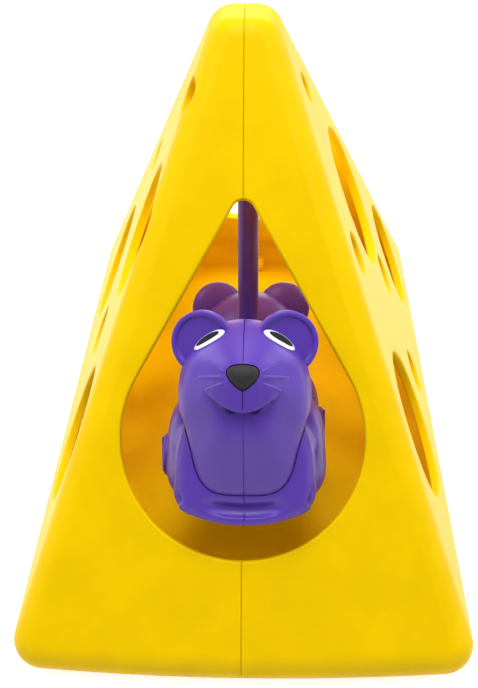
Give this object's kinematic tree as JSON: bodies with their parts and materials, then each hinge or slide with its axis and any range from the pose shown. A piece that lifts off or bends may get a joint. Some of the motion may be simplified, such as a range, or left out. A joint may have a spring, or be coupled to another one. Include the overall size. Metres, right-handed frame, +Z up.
{
  "type": "treat dispensing cat toy",
  "caption": "Hollow cheese wedge that stands on the floor with round side holes and teardrop ends, in which a pair of back to back mice swings and drops treats through turning belly gates.",
  "frame": {"origin": "centre of the housing's footprint, on the floor", "axes": "+Z up, -Y the way the front mouse faces, +X across the toy to the right in the picture, along the axle"},
  "size_m": [0.1376, 0.2436, 0.162],
  "materials": {
    "housing_plastic": "yellow moulded plastic, satin with a fine grain",
    "mouse_plastic": "purple moulded plastic, satin",
    "nose_plastic": "black moulded plastic, satin",
    "steel": "plain drawn steel",
    "washer_plastic": "natural nylon"
  },
  "bodies": {
    "housing": {"housing_left": "housing_plastic", "housing_right": "housing_plastic", "axle_pin": "steel", "washer_left": "washer_plastic", "washer_right": "washer_plastic"},
    "swing": {"hanger": "mouse_plastic", "front_head_left": "mouse_plastic", "front_head_right": "mouse_plastic", "front_body_left": "mouse_plastic", "front_body_right": "mouse_plastic", "front_nose": "nose_plastic", "rear_head_left": "mouse_plastic", "rear_head_right": "mouse_plastic", "rear_body_left": "mouse_plastic", "rear_body_right": "mouse_plastic", "rear_nose": "nose_plastic"},
    "front_gate": {"front_dial": "mouse_plastic", "front_gate_drum": "mouse_plastic", "front_gate_screw": "steel"},
    "rear_gate": {"rear_dial": "mouse_plastic", "rear_gate_drum": "mouse_plastic", "rear_gate_screw": "steel"}
  },
  "joints": [
    {"name": "swing", "type": "hinge", "parent": "housing", "child": "swing", "pos_m": [0, 0, 0.149], "axis": [1, 0, 0], "range_deg": [-18, 72]},
    {"name": "front_gate_turn", "type": "hinge", "parent": "swing", "child": "front_gate", "pos_m": [0.0009, -0.07264, 0.04942], "axis": [1, 0, 0], "range_deg": [0, 90]},
    {"name": "rear_gate_turn", "type": "hinge", "parent": "swing", "child": "rear_gate", "pos_m": [0.0009, -0.03787, 0.03171], "axis": [-1, 0, 0], "range_deg": [0, 90]}
  ]
}
